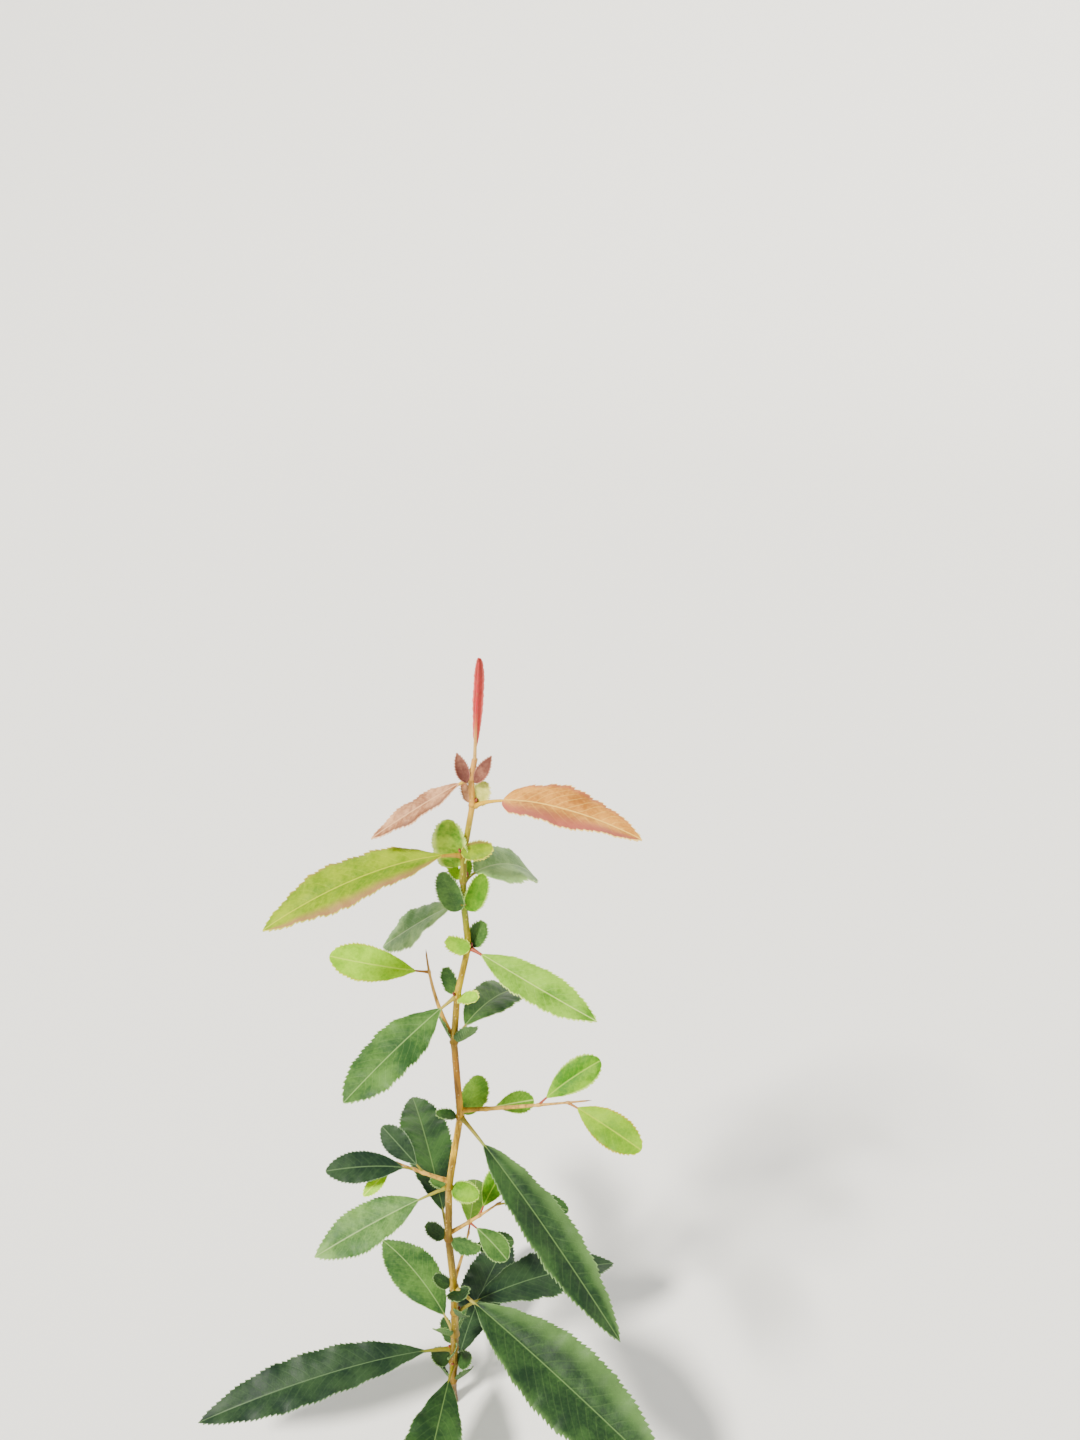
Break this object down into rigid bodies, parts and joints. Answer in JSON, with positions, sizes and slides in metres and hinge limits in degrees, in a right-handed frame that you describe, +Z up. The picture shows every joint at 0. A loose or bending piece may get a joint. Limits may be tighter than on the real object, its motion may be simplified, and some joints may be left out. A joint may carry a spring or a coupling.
{
  "type": "chinese quince sapling",
  "caption": "Young quince sapling with a straight jointed stem, toothed lance-shaped leaves, ear-shaped stipules, short thorny side shoots and a folded red tip leaf.",
  "frame": {"origin": "centre of the flat cut under the stem, at ground level", "axes": "+Z up along the stem, +X to the right and +Y away from the viewer in the reference view"},
  "size_m": [0.2682, 0.2163, 0.5262],
  "materials": {
    "stem_bark": "smooth golden-brown young bark, greener towards the top",
    "shoot_bark": "smooth tan young bark",
    "leaf_dark": "satin dark green leaf",
    "leaf_green": "satin mid green leaf",
    "leaf_pale": "satin grey-green leaf",
    "leaf_fresh": "satin fresh green leaf",
    "leaf_lime": "satin yellow-green young leaf",
    "leaf_olive": "satin olive leaf with a pinkish-brown margin",
    "leaf_bronze": "satin bronze young leaf",
    "leaf_red": "satin red folded young leaf"
  },
  "bodies": {
    "root": {"stem": "stem_bark", "leaf_01": "leaf_dark", "leaf_02": "leaf_dark", "leaf_03": "leaf_dark", "leaf_04": "leaf_green", "leaf_05": "leaf_dark", "leaf_06": "leaf_green", "leaf_07": "leaf_green", "leaf_08": "leaf_pale", "leaf_09": "leaf_green", "leaf_10": "leaf_green", "leaf_11": "leaf_green", "leaf_12": "leaf_fresh", "leaf_13": "leaf_pale", "leaf_14": "leaf_pale", "leaf_15": "leaf_olive", "leaf_16": "leaf_bronze", "leaf_17": "leaf_bronze", "tip_leaf": "leaf_red", "side_shoot_left_high": "shoot_bark", "side_shoot_left_high_leaf_1": "leaf_lime", "side_shoot_right": "shoot_bark", "side_shoot_right_leaf_1": "leaf_fresh", "side_shoot_right_leaf_2": "leaf_lime", "side_shoot_right_leaf_3": "leaf_fresh", "side_shoot_right_low": "shoot_bark", "side_shoot_right_low_leaf_1": "leaf_green", "side_shoot_right_low_leaf_2": "leaf_fresh", "side_shoot_right_low_leaf_3": "leaf_fresh", "side_shoot_left_low": "shoot_bark", "side_shoot_left_low_leaf_1": "leaf_dark", "side_shoot_left_low_leaf_2": "leaf_lime", "side_shoot_left_low_leaf_3": "leaf_dark", "side_shoot_back": "shoot_bark", "side_shoot_back_leaf_1": "leaf_fresh", "side_shoot_back_leaf_2": "leaf_green"}
  },
  "joints": []
}
